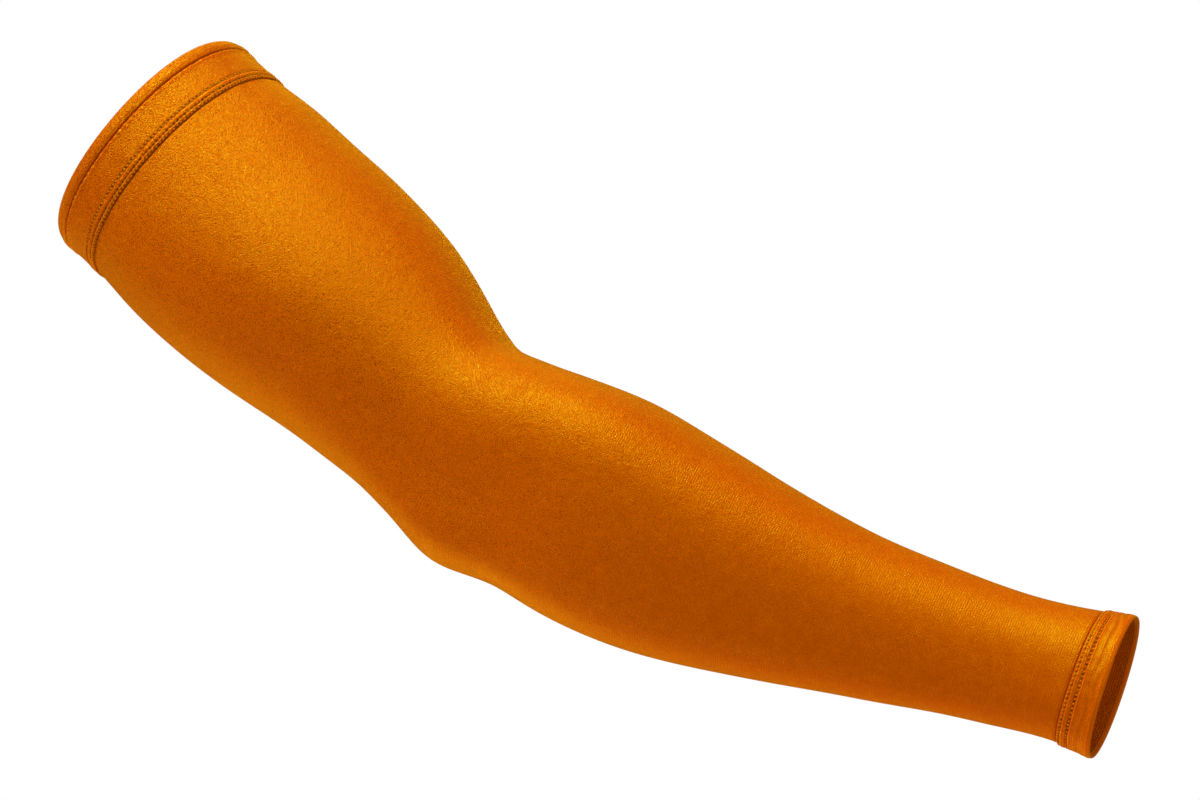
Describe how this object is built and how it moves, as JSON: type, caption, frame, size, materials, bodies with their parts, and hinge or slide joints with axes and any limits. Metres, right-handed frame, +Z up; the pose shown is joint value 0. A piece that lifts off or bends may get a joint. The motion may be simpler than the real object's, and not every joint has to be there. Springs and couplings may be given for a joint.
{
  "type": "arm sleeve",
  "caption": "Stretch-knit arm sleeve from upper arm to wrist, hollow, in its worn shape with a slight elbow bend, with a folded upper band and a wrist hem.",
  "frame": {"origin": "centre of the upper opening, where the upper arm goes in", "axes": "+Z up, away from the wrist; +X to the front of the arm, the inside of the elbow; the outer side of the arm faces -Y"},
  "size_m": [0.1333, 0.0992, 0.4423],
  "materials": {
    "knit": "fine stretch knit with a satin sheen",
    "band_knit": "the same knit in two layers",
    "thread": "twisted sewing thread with a slight shine"
  },
  "bodies": {
    "root": {"sleeve_tube": "knit", "biceps_band": "band_knit", "rim_roll": "band_knit", "wrist_hem": "band_knit"}
  },
  "joints": []
}
